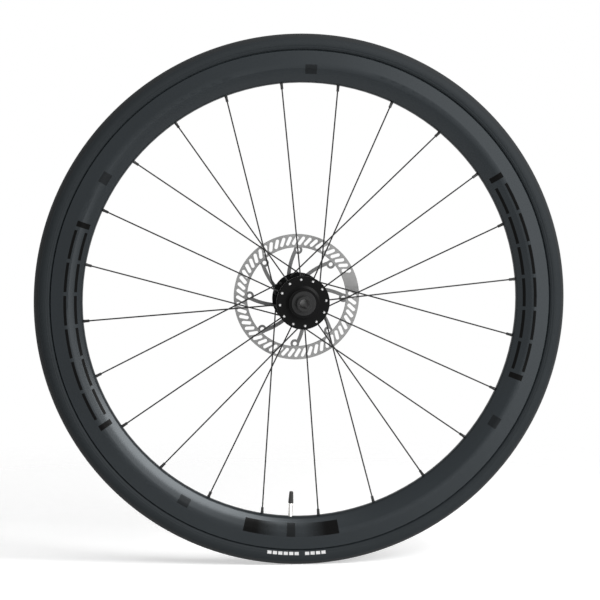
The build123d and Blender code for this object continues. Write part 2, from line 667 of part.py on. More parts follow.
def upright(r0, r1, d0, d1=None):
    """A round bar on the valve's line between two radii, tapered where two diameters are given."""
    d1 = d0 if d1 is None else d1
    align = (Align.CENTER, Align.CENTER, Align.MIN)
    bar = Cylinder(d0 / 2, r1 - r0, align=align) if d0 == d1 else Cone(d0 / 2, d1 / 2, r1 - r0, align=align)
    return Pos(0, 0, r0) * bar


def make_valve_stem():
    foot_r = TAPE_TOP_R + TAPE_GAP
    stem = upright(STEM_END_R + VALVE_NECK_L, foot_r, VALVE_D)
    stem += upright(STEM_END_R, STEM_END_R + VALVE_NECK_L, VALVE_NECK_D)
    stem += upright(foot_r, foot_r + VALVE_FOOT_T, VALVE_FOOT_D)
    stem += upright(STEM_END_R - PIN_OUT, STEM_END_R, PIN_D)
    return around(stem, VALVE_ANGLE)


def make_lock_nut():
    top = STEM_END_R - LOCK_NUT_GAP
    nut = upright(top - LOCK_NUT_L, top, LOCK_NUT_D) - upright(top - LOCK_NUT_L, top, PIN_D + 2 * THREAD_FIT)
    knurl = upright(top - LOCK_NUT_L, top, LOCK_NUT_SLOT_D)
    nut -= [Pos(*spot.position) * knurl for spot in PolarLocations(LOCK_NUT_D / 2, LOCK_NUT_SLOTS)]
    return around(nut, VALVE_ANGLE)


def make_valve_cap():
    base = STEM_END_R + VALVE_CAP_COVER
    tip = base - VALVE_CAP_L
    cap = upright(tip, base, VALVE_CAP_TIP_D, VALVE_CAP_BASE_D)
    neck_bore = VALVE_NECK_D + 2 * VALVE_CAP_FIT
    cap -= upright(STEM_END_R - VALVE_CAP_FIT, base, neck_bore)
    tip_bore = VALVE_CAP_TIP_D - 2 * VALVE_CAP_FIT
    cap -= upright(tip + VALVE_CAP_END_T, STEM_END_R - VALVE_CAP_FIT, tip_bore, neck_bore)
    return around(cap, VALVE_ANGLE)


# Lacing: the valve stands midway between a right and a left spoke.
# Right spokes run straight out with their heads outside. Left spokes lean alternately each way.
RIGHT_PHASE = VALVE_ANGLE - SPOKE_PITCH / 4
LEFT_PHASE = VALVE_ANGLE + SPOKE_PITCH / 4


def lacing():
    """Every spoke as (node name, side, rim angle, turn from rim hole to flange hole, elbow direction)."""
    spokes = []
    for n in range(SPOKES_PER_SIDE):
        spokes.append((f"spoke_right_{n + 1:02d}", -1, RIGHT_PHASE + n * SPOKE_PITCH, 0.0, 1))
    for n in range(SPOKES_PER_SIDE):
        lean = 1 if n % 2 == 0 else -1
        spokes.append((f"spoke_left_{n + 1:02d}", 1, LEFT_PHASE + n * SPOKE_PITCH, lean * CROSS_TURN, lean))
    return spokes


def main():
    parts = {}
    nipples = {-1: [], 1: []}
    spoke_lines = []
    made = {}
    for name, side, angle, turn, elbow_dir in lacing():
        key = (side, turn, elbow_dir)
        if key not in made:
            made[key] = (make_spoke(*key), make_nipple(*key), spoke_line(*key))
        spoke, nipple, (start, direction) = made[key]
        parts[name] = around(spoke, angle)
        nipples[side].append(around(nipple, angle))
        spoke_lines.append((start.rotate(Axis.Y, angle), direction.rotate(Axis.Y, angle)))

    parts["tyre"] = make_tyre()
    parts["inner_tube"] = make_inner_tube()
    parts["rim_tape"] = make_rim_tape()
    parts["rim"] = make_rim(spoke_lines)
    parts["nipples_right"] = Compound(children=nipples[-1])
    parts["nipples_left"] = Compound(children=nipples[1])
    parts["hub_shell"] = make_hub_shell()
    for name, side in (("right", -1), ("left", 1)):
        parts[f"bearing_{name}_outer_race"] = make_outer_race(side)
        parts[f"bearing_{name}_inner_race"] = make_inner_race(side)
        parts[f"bearing_{name}_seals"] = Compound(children=make_seals(side))
        parts[f"end_cap_{name}"] = make_end_cap(side)
    parts["bearing_balls"] = Compound(children=make_balls())
    parts["bearing_cages"] = Compound(children=make_cages())
    parts["axle"] = make_axle()
    parts["brake_rotor"] = make_rotor()
    parts["rotor_bolts"] = Compound(children=make_rotor_bolts())
    parts["valve_stem"] = make_valve_stem()
    parts["valve_lock_nut"] = make_lock_nut()
    parts["valve_cap"] = make_valve_cap()

    os.makedirs("parts", exist_ok=True)
    for name, shape in parts.items():
        export_step(shape, f"parts/{name}.step")


main()
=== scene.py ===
import math

import bmesh
import bpy
import numpy as np
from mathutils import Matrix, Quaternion, Vector


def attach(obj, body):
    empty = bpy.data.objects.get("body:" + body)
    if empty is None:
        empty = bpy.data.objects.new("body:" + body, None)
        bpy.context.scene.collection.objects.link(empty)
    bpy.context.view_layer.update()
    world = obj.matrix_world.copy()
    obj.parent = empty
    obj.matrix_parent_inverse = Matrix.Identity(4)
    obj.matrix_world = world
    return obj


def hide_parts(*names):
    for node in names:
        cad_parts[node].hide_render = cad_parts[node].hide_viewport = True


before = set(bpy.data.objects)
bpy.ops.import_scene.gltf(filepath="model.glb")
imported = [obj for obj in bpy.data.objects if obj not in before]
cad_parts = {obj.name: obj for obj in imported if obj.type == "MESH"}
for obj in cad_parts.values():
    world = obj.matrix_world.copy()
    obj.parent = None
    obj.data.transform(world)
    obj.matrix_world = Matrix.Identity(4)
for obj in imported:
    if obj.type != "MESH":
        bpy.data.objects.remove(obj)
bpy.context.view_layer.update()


# Axle tube and end caps. The tube is bare drawn aluminium, turned where the bearings sit. The caps are
# turned from bar, anodised black and slipped over the tube's ends. Their end faces are what is clamped.

class Value:
    """A number that varies over a surface. Arithmetic on it adds Math nodes to its finish."""

    def __init__(self, finish, socket):
        self.finish = finish
        self.socket = socket

    def maths(self, operation, *terms, clamp=False):
        settings = {"operation": operation, "use_clamp": clamp}
        return self.finish.node("ShaderNodeMath", settings, dict(enumerate(terms)))

    def __add__(self, other):
        return self.maths("ADD", self, other)

    def __sub__(self, other):
        return self.maths("SUBTRACT", self, other)

    def __rsub__(self, other):
        return self.maths("SUBTRACT", other, self)

    def __mul__(self, other):
        return self.maths("MULTIPLY", self, other)

    def __truediv__(self, other):
        return self.maths("DIVIDE", self, other)

    def __rtruediv__(self, other):
        return self.maths("DIVIDE", other, self)

    def __pow__(self, other):
        return self.maths("POWER", self, other)

    def __abs__(self):
        return self.maths("ABSOLUTE", self)

    def __neg__(self):
        return self.maths("MULTIPLY", self, -1.0)

    __radd__ = __add__
    __rmul__ = __mul__

    def sine(self):
        return self.maths("SINE", self)

    def fraction(self):
        return self.maths("FRACT", self)

    def held(self):
        """The value held between 0 and 1."""
        return self.maths("ADD", self, 0.0, clamp=True)

    def within(self, low, high, soft):
        """1 between two limits and 0 outside, with edges that are soft wide."""
        return ((self - low) / soft).held() * ((high - self) / soft).held()


class Finish:
    """The node tree of one material, or of the world, while it is being made."""

    def __init__(self, owner):
        self.owner = owner
        owner.use_nodes = True
        self.tree = owner.node_tree
        self.tree.nodes.clear()

    def node(self, kind, settings=None, sockets=None, out=0):
        """Adds a node: settings first, then a number, colour or link for each socket. Gives one output."""
        made = self.tree.nodes.new(kind)
        for key, setting in (settings or {}).items():
            setattr(made, key, setting)
        for key, given in (sockets or {}).items():
            if isinstance(given, Value):
                self.tree.links.new(given.socket, made.inputs[key])
            else:
                made.inputs[key].default_value = given
        return Value(self, made.outputs[out]) if made.outputs else None

    def place(self):
        """Place in the wheel's own frame, in metres."""
        return self.node("ShaderNodeTexCoord", out="Object")

    def parts_of(self, vector):
        return [self.node("ShaderNodeSeparateXYZ", sockets={"Vector": vector}, out=axis) for axis in "XYZ"]

    def vector(self, x, y, z):
        return self.node("ShaderNodeCombineXYZ", sockets={"X": x, "Y": y, "Z": z})

    def noise(self, vector, scale, detail=2.0):
        return self.node("ShaderNodeTexNoise", sockets={"Vector": vector, "Scale": scale, "Detail": detail})

    def mix(self, share, first, second):
        """A colour between two others: share 0 is the first, 1 is the second."""
        colours = {0: share, 6: first, 7: second}
        return self.node("ShaderNodeMix", {"data_type": "RGBA"}, colours, out=2)

    def bump(self, height, strength, distance):
        sockets = {"Height": height, "Strength": strength, "Distance": distance}
        return self.node("ShaderNodeBump", sockets=sockets)

    def surface(self, **sockets):
        """The surface shader. A keyword names a socket: base_color is Base Color."""
        named = {}
        for key, given in sockets.items():
            named[key.replace("_", " ").title().replace("Ior", "IOR")] = given
        return self.node("ShaderNodeBsdfPrincipled", sockets=named)

    def finished(self, shader, output="ShaderNodeOutputMaterial"):
        self.node(output, sockets={"Surface": shader})
        return self.owner


def new_finish(name):
    return Finish(bpy.data.materials.new(name))


def grey(level, tint=(1.0, 1.0, 1.0)):
    """An opaque colour of that level, tinted where a tint is given."""
    return (level * tint[0], level * tint[1], level * tint[2], 1.0)


def wheel_place(finish):
    """Angle from the top towards the front in degrees, then radius and place along the axle in metres."""
    x, y, z = finish.parts_of(finish.place())
    angle = x.maths("ARCTAN2", -x, -z) * math.degrees(1.0) + 180.0
    return angle, (x * x + z * z) ** 0.5, y


def turning_marks(finish, pitch):
    """Rings left by a turning tool: noise that changes along the axle and outwards, and not around it."""
    _, radius, y = wheel_place(finish)
    return finish.noise(finish.vector(radius, y, 0.0), scale=1.0 / pitch, detail=3.0)


# The axle's colour is painted darker all over than bare alloy, as painted shade for the dim bore inside the
# hub.
def alloy_with_painted_shade():
    finish = new_finish("turned_alloy_with_painted_shade")
    marks = turning_marks(finish, pitch=0.0005)
    return finish.finished(finish.surface(
        base_color=finish.mix(marks, grey(0.24), grey(0.38)),
        metallic=1.0,
        roughness=0.40 + 0.18 * marks,
        normal=finish.bump(marks, strength=0.2, distance=0.00004),
    ))


def blackened_metal(name, level, roughness, shine):
    """Metal with a black skin: turning marks show through it, and its tone varies a little."""
    finish = new_finish(name)
    marks = turning_marks(finish, pitch=0.0007)
    clouds = finish.noise(finish.place(), scale=60.0, detail=3.0)
    tone = 0.6 * marks + 0.4 * clouds
    return finish.finished(finish.surface(
        base_color=finish.mix(tone, grey(0.6 * level), grey(1.5 * level, (1.0, 1.02, 1.05))),
        roughness=roughness + 0.14 * (marks - 0.5) + 0.10 * (clouds - 0.5),
        specular_ior_level=shine,
        normal=finish.bump(marks, strength=0.18, distance=0.00005),
    ))


def dress(material, *nodes):
    """Gives a material to CAD nodes that keep their own shape."""
    for node in nodes:
        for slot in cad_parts[node].material_slots:
            slot.material = material


dress(alloy_with_painted_shade(), "axle")
black_caps = blackened_metal("black_anodised_caps", level=0.010, roughness=0.34, shine=0.22)
dress(black_caps, "end_cap_right", "end_cap_left")


# Bearings. Two sealed cartridges: ground steel races, polished steel balls spaced by a nylon cage, and
# moulded rubber seals snapped into the outer race. They press into the hub shell and slip on the axle.

def ground_steel(name, level, roughness):
    finish = new_finish(name)
    marks = turning_marks(finish, pitch=0.0003)
    return finish.finished(finish.surface(
        base_color=finish.mix(marks, grey(0.85 * level), grey(1.1 * level, (0.98, 1.0, 1.02))),
        metallic=1.0,
        roughness=roughness + 0.12 * marks,
    ))


def moulded_nylon():
    finish = new_finish("moulded_nylon")
    cloud = finish.noise(finish.place(), scale=900.0, detail=3.0)
    return finish.finished(finish.surface(
        base_color=finish.mix(cloud, (0.60, 0.56, 0.45, 1.0), (0.74, 0.70, 0.60, 1.0)),
        roughness=0.42 + 0.2 * cloud,
    ))


def moulded_rubber(name, level, grain_scale):
    finish = new_finish(name)
    grain = finish.noise(finish.place(), scale=grain_scale, detail=4.0)
    return finish.finished(finish.surface(
        base_color=finish.mix(grain, grey(0.7 * level), grey(1.3 * level)),
        roughness=0.62 + 0.2 * grain,
        specular_ior_level=0.35,
        normal=finish.bump(grain, strength=0.2, distance=0.00006),
    ))


for end in ("right", "left"):
    races = (f"bearing_{end}_outer_race", f"bearing_{end}_inner_race")
    dress(ground_steel(f"ground_races_{end}", level=0.60, roughness=0.18), *races)
dress(ground_steel("polished_balls", level=0.68, roughness=0.06), "bearing_balls")
dress(moulded_nylon(), "bearing_cages")
seal_rubber = moulded_rubber("seal_rubber", level=0.02, grain_scale=1500.0)
dress(seal_rubber, "bearing_right_seals", "bearing_left_seals")


# Hub shell. One piece of forged and turned aluminium, anodised black: two drilled flanges, a slim barrel,
# and a lobed boss on the brake side that the rotor bolts to.

dress(blackened_metal("black_anodised_shell", level=0.003, roughness=0.36, shine=0.06), "hub_shell")


# Spokes and nipples. Drawn stainless wire, blackened, with a forged head that sits on its flange and an
# elbow that leads into the straight run. Each screws into a black plated brass nipple, whose wrench square
# stands out of the rim.

HEAD_OUTER_FACE_Y = -0.0347
HEAD_FACE_SOFT = 0.0003


def black_wire():
    """Blackened drawn wire. Heads on the right flange are bare bright steel on their outer face."""
    finish = new_finish("black_drawn_wire")
    _, _, y = wheel_place(finish)
    grain = finish.noise(finish.place(), scale=700.0, detail=3.0)
    bare = ((HEAD_OUTER_FACE_Y - y) / HEAD_FACE_SOFT).held()
    return finish.finished(finish.surface(
        base_color=finish.mix(bare, finish.mix(grain, grey(0.010), grey(0.026)), grey(0.52)),
        metallic=0.10 + 0.90 * bare,
        roughness=0.34 + 0.14 * grain,
        specular_ior_level=0.16,
    ))


spokes = [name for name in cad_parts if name.startswith("spoke_")]
dress(black_wire(), *spokes)
black_nipples = blackened_metal("black_nipples", level=0.010, roughness=0.36, shine=0.30)
dress(black_nipples, "nipples_right", "nipples_left")


# Rim. A deep hollow aluminium section with a soft ridge along each side, satin black. Plain bars are
# printed on it in deep black: two lines of dashes along two stretches, four faint blocks, and a bar that
# fades towards the valve.

PRINT_LOW_R = 0.2826
PRINT_HIGH_R = 0.3002
PRINT_LINE_T = 0.0040
PRINT_EDGE = 0.0003          # softness of a printed edge, metres
PRINT_EDGE_TURN = 0.1        # the same, in degrees round the wheel
DASH_ROWS = ((60.6, 109.2), (240.4, 289.0))
ROW_PITCH = 8.1              # degrees from dash to dash, a whole number of them in a row
ROW_SHARE = 0.9
ROW_BLOCK = 1.5              # degrees that the solid block at each end of a row covers
FAINT_BLOCKS = ((1.0, 4.0), (121.0, 124.0), (209.0, 212.0), (301.0, 304.0))
FAINT_LOW_R = 0.2862
FAINT_HIGH_R = 0.2986
FAINT_INK = 0.6
VALVE_BAR = (170.6, 194.4)
VALVE_BAR_SOLID = 3.2        # degrees of solid black at each end, before it fades
VALVE_BAR_FADE = 5.5
VALVE_BAR_LEFT = 0.15        # ink left in the middle
VALVE_MARK = (181.4, 183.6)
VALVE_MARK_INK = 0.6


def rim_print(finish):
    """Where the rim is printed, 0 to 1: plain bars and blocks at angles round the wheel between radii."""
    angle, radius, _ = wheel_place(finish)
    band = radius.within(PRINT_LOW_R, PRINT_HIGH_R, PRINT_EDGE)
    lines = (radius.within(PRINT_LOW_R, PRINT_LOW_R + PRINT_LINE_T, PRINT_EDGE)
             + radius.within(PRINT_HIGH_R - PRINT_LINE_T, PRINT_HIGH_R, PRINT_EDGE))
    rows = 0.0
    for start, end in DASH_ROWS:
        step = ((angle - start) / ROW_PITCH).fraction()
        dash = step.within(0.0, ROW_SHARE, PRINT_EDGE_TURN / ROW_PITCH)
        dashes = dash * angle.within(start, end, PRINT_EDGE_TURN)
        blocks = (angle.within(start - 2 * ROW_BLOCK, start - ROW_BLOCK, PRINT_EDGE_TURN)
                  + angle.within(end, end + ROW_BLOCK, PRINT_EDGE_TURN))
        rows = dashes * lines + blocks * band + rows
    faint = sum(angle.within(start, end, PRINT_EDGE_TURN) for start, end in FAINT_BLOCKS)
    faint_band = radius.within(FAINT_LOW_R, FAINT_HIGH_R, PRINT_EDGE)
    low, high = VALVE_BAR
    from_end = (high - low) / 2 - abs(angle - (low + high) / 2)
    fading = 1.0 - (1.0 - VALVE_BAR_LEFT) * ((from_end - VALVE_BAR_SOLID) / VALVE_BAR_FADE).held()
    bar = angle.within(low, high, PRINT_EDGE_TURN) * fading
    mark = VALVE_MARK_INK * angle.within(*VALVE_MARK, PRINT_EDGE_TURN)
    return (rows + FAINT_INK * faint * faint_band + (bar + mark) * band).held()


def satin_rim():
    finish = new_finish("satin_black_rim")
    _, radius, y = wheel_place(finish)
    place = finish.place()
    clouds = finish.noise(place, scale=14.0, detail=4.0)
    streaks = finish.noise(finish.vector(radius, y, 0.0), scale=540.0, detail=3.0)
    grain = finish.noise(place, scale=2600.0, detail=2.0)
    tone = 0.55 * clouds + 0.40 * streaks + 0.05 * grain
    satin = finish.surface(
        base_color=finish.mix(tone, (0.0010, 0.0024, 0.0036, 1.0), (0.0026, 0.0050, 0.0066, 1.0)),
        roughness=0.22 + 0.08 * tone,
        specular_ior_level=0.39,
        specular_tint=(0.89, 0.955, 1.0, 1.0),
        normal=finish.bump(grain, strength=0.03, distance=0.00002),
    )
    ink = finish.surface(
        base_color=finish.mix(clouds, grey(0.0015), grey(0.0035)),
        roughness=0.24 + 0.08 * clouds,
        specular_ior_level=0.05,
    )
    both = finish.node("ShaderNodeMixShader", sockets={0: rim_print(finish), 1: satin, 2: ink})
    return finish.finished(both)


dress(satin_rim(), "rim")


# Rim tape and inner tube. A woven strip closes the access holes of the tyre bed. The tube is butyl rubber,
# blown up inside the tyre, with the valve bonded to it.

WARP_PITCH = 0.0006
WEFT_THREADS = 3200          # threads across the tape, all round the wheel


def woven_tape():
    finish = new_finish("woven_tape")
    angle, _, y = wheel_place(finish)
    warp = (y * (2.0 * math.pi / WARP_PITCH)).sine()
    weft = (angle * math.radians(WEFT_THREADS)).sine()
    weave = 0.5 + 0.5 * warp * weft
    return finish.finished(finish.surface(
        base_color=finish.mix(weave, (0.44, 0.39, 0.08, 1.0), (0.60, 0.55, 0.15, 1.0)),
        roughness=0.5 + 0.15 * weave,
    ))


dress(woven_tape(), "rim_tape")
dress(moulded_rubber("tube_rubber", level=0.015, grain_scale=500.0), "inner_tube")


# Valve. A slender nickel-plated brass stem, threaded over its whole length, a knurled nut on its pin, and a
# moulded black cap with grip flutes that screws on to the neck. The stem is bonded to the tube.

SAME_POINT = 1e-7            # points nearer to each other than this are one
VALVE_ANGLE = math.radians(182.6)
THREAD_PITCH = 0.0009
THREAD_DEPTH = 0.00032
THREAD_STEPS = 6             # rows of points in one pitch
STEM_SIDES = 40
STEM_END_R = 0.2520
STEM_NECK_TOP_R = 0.2600
STEM_FOOT_R = 0.3092
STEM_TOP_R = 0.3108
STEM_NECK_HALF = 0.0026
STEM_HALF = 0.0030
STEM_FOOT_HALF = 0.0040
PIN_HALF = 0.0009
PIN_TIP_R = 0.2464
STEM_EDGE = 0.0004
CAP_TIP_R = 0.2434
CAP_BASE_R = 0.2586
CAP_TIP_HALF = 0.0025
CAP_BASE_HALF = 0.0034
CAP_COLLAR_L = 0.0022        # plain collar at the cap's mouth
CAP_TIP_ROUND = 0.0016
CAP_TIP_STEPS = 9
CAP_WALL_STEP = 0.0004
CAP_FLUTES = 12
CAP_FLUTE_DEPTH = 0.00034
CAP_FLUTE_RISE = 0.0012      # length over which the flutes begin, past the round tip
CAP_FLUTE_FALL = 0.0008      # length over which they end, before the collar
CAP_BORE_HALF = 0.00275
CAP_BORE_END_R = 0.2446
CAP_BORE_END_HALF = 0.00209
CAP_BORE_STEP = 0.002
CAP_SIDES = 96


def along_valve(height, half, turn):
    """Points on the valve: height from the axle along its line, half width and turn about that line."""
    out = np.array((math.sin(VALVE_ANGLE), 0.0, math.cos(VALVE_ANGLE)))
    across = np.array((math.cos(VALVE_ANGLE), 0.0, -math.sin(VALVE_ANGLE)))
    axial = np.array((0.0, 1.0, 0.0))
    wide = half * np.cos(turn)
    deep = half * np.sin(turn)
    return height[..., None] * out + wide[..., None] * across + deep[..., None] * axial


def new_piece(name, points, material, closed_rows, crease, uv=None):
    """A mesh over a grid of points (rows, columns, xyz). Each row closes on itself, and the last row joins
    the first where closed_rows is set. A row that shrinks to one point becomes a pole. Edges bent by more
    than crease degrees stay sharp. uv holds the places of the columns and of the rows on the map."""
    rows, columns = points.shape[:2]
    row = np.arange(rows if closed_rows else rows - 1)
    r, c = np.meshgrid(row, np.arange(columns), indexing="ij")
    next_r, next_c = (r + 1) % rows, (c + 1) % columns
    this_row, next_row = r * columns, next_r * columns
    corners = np.stack((this_row + c, this_row + next_c, next_row + next_c, next_row + c), -1)
    mesh = bpy.data.meshes.new(name)
    mesh.from_pydata(points.reshape(-1, 3), [], corners.reshape(-1, 4))
    if uv is not None:
        across, along = uv
        u = np.stack((across[c], across[c + 1], across[c + 1], across[c]), -1)
        v = np.stack((along[r], along[r], along[r + 1], along[r + 1]), -1)
        layer = mesh.uv_layers.new(name="run")
        layer.data.foreach_set("uv", np.stack((u, v), -1).ravel())
    merged = bmesh.new()
    merged.from_mesh(mesh)
    bmesh.ops.remove_doubles(merged, verts=merged.verts, dist=SAME_POINT)
    merged.to_mesh(mesh)
    merged.free()
    mesh.polygons.foreach_set("use_smooth", np.ones(len(mesh.polygons), bool))
    mesh.set_sharp_from_angle(angle=math.radians(crease))
    mesh.materials.append(material)
    piece = bpy.data.objects.new(name, mesh)
    bpy.context.scene.collection.objects.link(piece)
    return piece


def even_runs(corners, step):
    """Points along straight runs between corners (height, half width), about a step apart, corners kept."""
    runs = []
    for start, end in zip(corners[:-1], corners[1:]):
        count = max(1, int(round(abs(end[0] - start[0]) / step)))
        share = np.linspace(0.0, 1.0, count, endpoint=False)[:, None]
        runs.append((1.0 - share) * np.array(start) + share * np.array(end))
    runs.append(np.array(corners[-1:]))
    return np.concatenate(runs)


def valve_stem(material):
    """A bar turned from its corners, with a screw thread: the half width falls by the thread's depth times
    a triangle wave of height over pitch plus turn."""
    corners = [
        (PIN_TIP_R, 0.0),
        (PIN_TIP_R, PIN_HALF - STEM_EDGE / 2),
        (PIN_TIP_R + STEM_EDGE, PIN_HALF),
        (STEM_END_R, PIN_HALF),
        (STEM_END_R, STEM_NECK_HALF - STEM_EDGE),
        (STEM_END_R + STEM_EDGE, STEM_NECK_HALF),
        (STEM_NECK_TOP_R, STEM_NECK_HALF),
        (STEM_NECK_TOP_R + STEM_EDGE, STEM_HALF),
        (STEM_FOOT_R, STEM_HALF),
        (STEM_FOOT_R, STEM_FOOT_HALF),
        (STEM_TOP_R, STEM_FOOT_HALF),
        (STEM_TOP_R, 0.0),
    ]
    profile = even_runs(corners, THREAD_PITCH / THREAD_STEPS)
    turn = np.linspace(0.0, 2.0 * np.pi, STEM_SIDES, endpoint=False)
    height, angle = np.meshgrid(profile[:, 0], turn, indexing="ij")
    wave = np.abs(2.0 * ((height / THREAD_PITCH + angle / (2.0 * np.pi)) % 1.0) - 1.0)
    threaded = (height > STEM_END_R + STEM_EDGE) & (height < STEM_FOOT_R - STEM_EDGE)
    half = profile[:, 1][:, None] - THREAD_DEPTH * wave * threaded
    points = along_valve(height, half, angle)
    return new_piece("threaded_valve_stem", points, material, closed_rows=False, crease=50.0)


def valve_cap(material):
    """A hollow tapered cap: the half width outside falls by the flutes' depth times a cosine of flutes
    times turn, fading out towards the collar and the round tip, and the bore ends blind."""
    tip_turn = np.linspace(0.0, np.pi / 2, CAP_TIP_STEPS)[1:]
    tip = np.stack((CAP_TIP_R + CAP_TIP_ROUND * (1 - np.cos(tip_turn)),
                    CAP_TIP_HALF - CAP_TIP_ROUND * (1 - np.sin(tip_turn))), -1)
    wall_corners = [
        tuple(tip[-1]),
        (CAP_BASE_R - STEM_EDGE, CAP_BASE_HALF),
        (CAP_BASE_R, CAP_BASE_HALF - STEM_EDGE),
    ]
    bore_corners = [
        (CAP_BASE_R, CAP_BORE_HALF),
        (STEM_END_R, CAP_BORE_HALF),
        (CAP_BORE_END_R, CAP_BORE_END_HALF),
        (CAP_BORE_END_R, 0.0),
    ]
    wall = even_runs(wall_corners, CAP_WALL_STEP)[1:]
    bore = even_runs(bore_corners, CAP_BORE_STEP)
    first = np.array([[CAP_TIP_R, 0.0]])
    profile = np.concatenate((first, tip, wall, bore))
    outside = np.arange(len(profile)) < len(profile) - len(bore)
    turn = np.linspace(0.0, 2.0 * np.pi, CAP_SIDES, endpoint=False)
    height, angle = np.meshgrid(profile[:, 0], turn, indexing="ij")
    rise = np.clip((height - CAP_TIP_R - CAP_TIP_ROUND) / CAP_FLUTE_RISE, 0.0, 1.0)
    fall = np.clip((CAP_BASE_R - CAP_COLLAR_L - height) / CAP_FLUTE_FALL, 0.0, 1.0)
    flute = CAP_FLUTE_DEPTH * (0.5 + 0.5 * np.cos(CAP_FLUTES * angle)) * rise * fall * outside[:, None]
    half = np.maximum(profile[:, 1][:, None] - flute, 0.0)
    points = along_valve(height, half, angle)
    return new_piece("fluted_valve_cap", points, material, closed_rows=False, crease=45.0)


def nickel_plate():
    finish = new_finish("nickel_plate")
    cloud = finish.noise(finish.place(), scale=700.0, detail=3.0)
    return finish.finished(finish.surface(
        base_color=finish.mix(cloud, (0.74, 0.73, 0.70, 1.0), (0.86, 0.85, 0.83, 1.0)),
        metallic=1.0,
        roughness=0.12 + 0.14 * cloud,
    ))


def cap_plastic():
    finish = new_finish("cap_plastic")
    grain = finish.noise(finish.place(), scale=2200.0, detail=3.0)
    return finish.finished(finish.surface(
        base_color=finish.mix(grain, grey(0.010), grey(0.020)),
        roughness=0.40 + 0.16 * grain,
        specular_ior_level=0.4,
        normal=finish.bump(grain, strength=0.15, distance=0.00004),
    ))


plated = nickel_plate()
stem = valve_stem(plated)
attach(stem, "wheel")
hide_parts("valve_stem")
dress(plated, "valve_lock_nut")
cap = valve_cap(cap_plastic())
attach(cap, "valve_cap")
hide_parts("valve_cap")


# Tyre. One moulding of black rubber over a woven casing: a smooth crown with fine file marks on its
# shoulders, a tread edge, thin sidewalls with two moulded rings, and beads that hook into the rim. Plain
# white dashes are printed next to the valve.

TYRE_R = 0.3363
TYRE_SECTION_R = 0.0129
TYRE_CENTRE_R = TYRE_R - TYRE_SECTION_R
TYRE_FLARE_ANGLE = math.radians(115.2)    # from the crown to the end of the outside, at the rim's edge
TREAD_EDGE_ANGLE = math.radians(51.0)
TREAD_EDGE_SOFT = math.radians(2.4)
TREAD_EDGE_H = 0.00032
SIDE_RINGS = (math.radians(94.0), math.radians(105.0))
SIDE_RING_HALF = math.radians(1.6)
SIDE_RING_H = 0.00026
BEAD_HEEL_Y = 0.0092
BEAD_TOE_Y = 0.0056
BEAD_FOOT_R = 0.3111
BEAD_NECK_R = 0.3169
INNER_NECK = (0.0066, 0.3173)             # axial and radial place
INNER_SECTION_R = 0.0114
INNER_CENTRE_R = 0.3223
INNER_END_ANGLE = math.radians(104.4)
OUTSIDE_STEPS = 193          # points over the outside, an odd number so that one is on the crown
INSIDE_STEPS = 41
TYRE_TURNS = 384
TREAD_SOFT = 0.0004
FILE_MARKS = 1056            # file marks round the tyre, a whole number so that they meet
FILE_LOW = 0.0034            # file marks run from here to here, along the section from the crown
FILE_HIGH = 0.0108
FILE_SOFT = 0.0008
FILE_LEAN = 0.9
CASING_PITCH = 0.0008
DASH_LOW_R = 0.3192
DASH_HIGH_R = 0.3234
DASH_EDGE = 0.0002
DASH_SIDE_Y = 0.009          # dashes lie outside this distance from the middle plane
DASH_SIDE_SOFT = 0.0005
DASH_PITCH = 1.24
DASH_SHARE = 0.82
DASH_END_SOFT = 0.06         # softness of a dash's ends in shares of the pitch, and of a run's in degrees
DASH_RUNS = ((174.4, 179.3), (180.5, 187.9))


def tyre_section():
    """The tyre's closed outline (axial, radial): a circle with a relief of tread edge and rings, over the
    crown from right to left, then round one bead, back under the crown and round the other bead."""
    turn = np.linspace(-TYRE_FLARE_ANGLE, TYRE_FLARE_ANGLE, OUTSIDE_STEPS)
    off = np.abs(turn)
    step = np.clip((off - TREAD_EDGE_ANGLE) / TREAD_EDGE_SOFT, 0.0, 1.0)
    relief = -TREAD_EDGE_H * step * step * (3.0 - 2.0 * step)
    for ring in SIDE_RINGS:
        relief = relief + SIDE_RING_H * np.clip(1.0 - ((off - ring) / SIDE_RING_HALF) ** 2, 0.0, 1.0)
    reach = TYRE_SECTION_R + np.minimum(relief, 0.0)
    outside = np.stack((reach * np.sin(turn), TYRE_CENTRE_R + reach * np.cos(turn)), -1)
    bead = np.array([
        (BEAD_HEEL_Y, BEAD_NECK_R),
        (BEAD_HEEL_Y, BEAD_FOOT_R),
        (BEAD_TOE_Y, BEAD_FOOT_R),
        INNER_NECK,
    ])
    back = np.linspace(INNER_END_ANGLE, -INNER_END_ANGLE, INSIDE_STEPS)
    inside = np.stack((INNER_SECTION_R * np.sin(back), INNER_CENTRE_R + INNER_SECTION_R * np.cos(back)), -1)
    return np.concatenate((outside, bead, inside, bead[::-1] * (-1.0, 1.0)))


def tyre_surface(material):
    """The section turned about the axle: (y, r) at angle a goes to (r sin a, y, r cos a). Its map is metres
    along the crown's circle and metres along the section from the crown."""
    section = tyre_section()
    angle = np.linspace(0.0, 2.0 * np.pi, TYRE_TURNS, endpoint=False)
    y = np.repeat(section[:, :1], TYRE_TURNS, axis=1)
    r = section[:, 1:]
    points = np.stack((r * np.sin(angle), y, r * np.cos(angle)), -1)
    steps = np.hypot(*np.diff(section, axis=0, append=section[:1]).T)
    along = np.concatenate(([0.0], np.cumsum(steps)))
    along = along - along[OUTSIDE_STEPS // 2]
    around = np.linspace(0.0, 2.0 * np.pi * TYRE_R, TYRE_TURNS + 1)
    return new_piece("moulded_tyre", points, material, closed_rows=True, crease=40.0, uv=(around, along))


